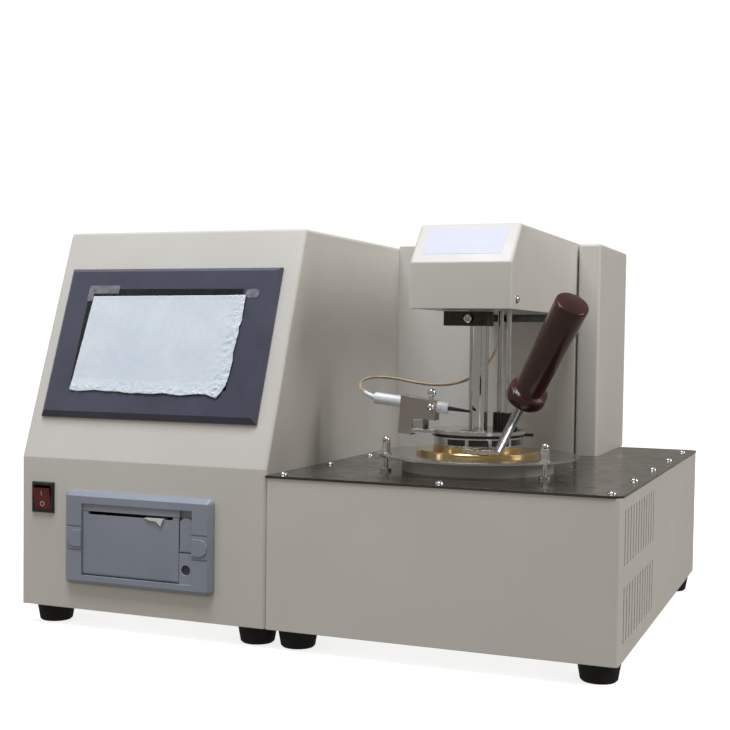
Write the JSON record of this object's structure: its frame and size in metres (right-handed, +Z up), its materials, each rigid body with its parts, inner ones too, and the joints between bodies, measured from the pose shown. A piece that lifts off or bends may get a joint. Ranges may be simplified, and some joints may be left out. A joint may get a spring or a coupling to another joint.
{
  "type": "flash point tester",
  "caption": "Bench flash point tester with a sloping touch console, panel printer, heated cup, lifting head with stirrer and igniter, and rubber feet.",
  "frame": {"origin": "on the bench under the middle of the machine, at the underside of its feet", "axes": "+Z up, +Y from the front with the screen to the back, +X from the console to the base"},
  "size_m": [0.551, 0.4741, 0.3673],
  "materials": {
    "cream_shell": "fine texture powder coat, satin",
    "inner_steel": "zinc plated sheet, satin",
    "foot_rubber": "matte",
    "black_bezel": "fine grain, satin",
    "screen_glass": "glossy",
    "screen_film": "thin wrinkled film",
    "dark_plastic": "satin",
    "switch_red": "glossy",
    "printer_grey": "satin",
    "printer_dark": "satin",
    "paper": "matte",
    "platen_rubber": "matte",
    "bare_steel": "brushed",
    "board_green": "satin",
    "bronze_plate": "dark bronze, glossy",
    "chrome": "polished",
    "aluminium": "machined",
    "brass": "turned, polished",
    "handle_brown": "red brown, glossy",
    "black_metal": "blackened, satin",
    "white_ceramic": "smooth",
    "lead_sleeve": "translucent silicone, cream"
  },
  "bodies": {
    "frame": {"console_shell": "cream_shell", "console_back_panel": "cream_shell", "floor_plates": "inner_steel", "rubber_feet": "foot_rubber", "screen_bezel": "black_bezel", "screen_housing": "dark_plastic", "screen_glass": "screen_glass", "screen_film": "screen_film", "switch_bezel": "dark_plastic", "printer_bezel": "printer_grey", "printer_case": "printer_dark", "mains_inlet": "dark_plastic", "power_supply": "bare_steel", "control_board": "board_green", "base_shell": "cream_shell", "top_plate": "bronze_plate", "base_fasteners": "chrome", "bath_body": "aluminium", "bath_heater": "bare_steel", "bath_collar": "cream_shell", "shield_disc": "chrome", "bath_plate": "brass", "test_cup": "brass", "cup_handle_arm": "bare_steel", "cup_handle_grip": "handle_brown", "cooling_fan_frame": "dark_plastic", "tower_shell": "cream_shell", "tower_front": "cream_shell", "mast_blocks": "aluminium", "guide_rods": "bare_steel", "lift_motor": "black_metal"},
    "rocker": {"switch_rocker": "switch_red"},
    "door": {"printer_door": "printer_grey", "paper_stub": "paper"},
    "platen": {"platen_roller": "platen_rubber"},
    "latch": {"printer_latch": "printer_grey"},
    "feed_button": {"printer_button": "printer_dark"},
    "roll": {"paper_roll": "paper"},
    "fan_rotor": {"cooling_fan_rotor": "dark_plastic"},
    "screw": {"lead_screw": "bare_steel"},
    "head": {"lift_carriage": "aluminium", "head_arm": "inner_steel", "hood": "cream_shell", "hood_floor": "inner_steel", "hood_screws": "chrome", "stirrer_motor": "bare_steel", "stirrer_tube": "chrome", "rod_clamps": "aluminium", "temperature_probe": "bare_steel", "lid_skirt": "aluminium", "lid_plate": "chrome", "igniter_lead": "lead_sleeve"},
    "stirrer": {"stirrer_shaft": "bare_steel"},
    "shutter_drive": {"shutter_rod": "bare_steel", "shutter_crank": "black_metal"},
    "shutter_plate": {"shutter": "black_metal"},
    "igniter": {"igniter_block": "aluminium", "igniter_sleeve": "white_ceramic", "igniter_tip": "black_metal", "igniter_nuts": "chrome"}
  },
  "joints": [
    {"name": "head_lift", "type": "slide", "parent": "frame", "child": "head", "axis": [0, 0, 1], "range_m": [0, 0.09]},
    {"name": "lead_screw_turn", "type": "hinge", "parent": "frame", "child": "screw", "pos_m": [0.1222, 0.16845, 0.218], "axis": [0, 0, 1], "range_deg": [0, 4050.01]},
    {"name": "stirrer_spin", "type": "hinge", "parent": "head", "child": "stirrer", "pos_m": [0.1222, -0.09985, 0.218], "axis": [0, 0, 1], "continuous": true},
    {"name": "shutter_turn", "type": "hinge", "parent": "head", "child": "shutter_plate", "pos_m": [0.1222, -0.09985, 0.182], "axis": [0, 0, 1], "range_deg": [0, 24]},
    {"name": "shutter_rod_turn", "type": "hinge", "parent": "head", "child": "shutter_drive", "pos_m": [0.14837, -0.09636, 0.218], "axis": [0, 0, 1], "range_deg": [0, 87.5]},
    {"name": "igniter_dip", "type": "hinge", "parent": "head", "child": "igniter", "pos_m": [0.075, -0.11955, 0.1916], "axis": [0, 1, 0], "range_deg": [0, 24]},
    {"name": "printer_door_hinge", "type": "hinge", "parent": "frame", "child": "door", "pos_m": [-0.155, -0.23215, 0.0536], "axis": [1, 0, 0], "range_deg": [0, 80]},
    {"name": "platen_spin", "type": "hinge", "parent": "door", "child": "platen", "pos_m": [-0.1554, -0.22105, 0.0998], "axis": [1, 0, 0], "continuous": true},
    {"name": "paper_roll_spin", "type": "hinge", "parent": "frame", "child": "roll", "pos_m": [-0.1554, -0.19655, 0.083], "axis": [1, 0, 0], "continuous": true},
    {"name": "printer_latch_tilt", "type": "hinge", "parent": "frame", "child": "latch", "pos_m": [-0.099, -0.23295, 0.08], "axis": [1, 0, 0], "range_deg": [0, 20], "stiffness_Nm_per_rad": 0.02},
    {"name": "feed_button_push", "type": "slide", "parent": "frame", "child": "feed_button", "axis": [0, 1, 0], "range_m": [0, 0.0012], "stiffness_N_per_m": 400, "springref_m": -0.001},
    {"name": "power_rocker", "type": "hinge", "parent": "frame", "child": "rocker", "pos_m": [-0.2508, -0.22655, 0.1176], "axis": [-1, 0, 0], "range_deg": [0, 20]},
    {"name": "fan_spin", "type": "hinge", "parent": "frame", "child": "fan_rotor", "pos_m": [0.265, -0.14075, 0.0845], "axis": [1, 0, 0], "continuous": true}
  ],
  "couplings": [
    {"joint": "lead_screw_turn", "follows": "head_lift", "rad_per_m": 785.4},
    {"joint": "shutter_rod_turn", "follows": "shutter_turn", "ratio": 3.6417},
    {"joint": "igniter_dip", "follows": "shutter_turn", "ratio": 1},
    {"joint": "platen_spin", "follows": "paper_roll_spin", "ratio": -4.75}
  ]
}
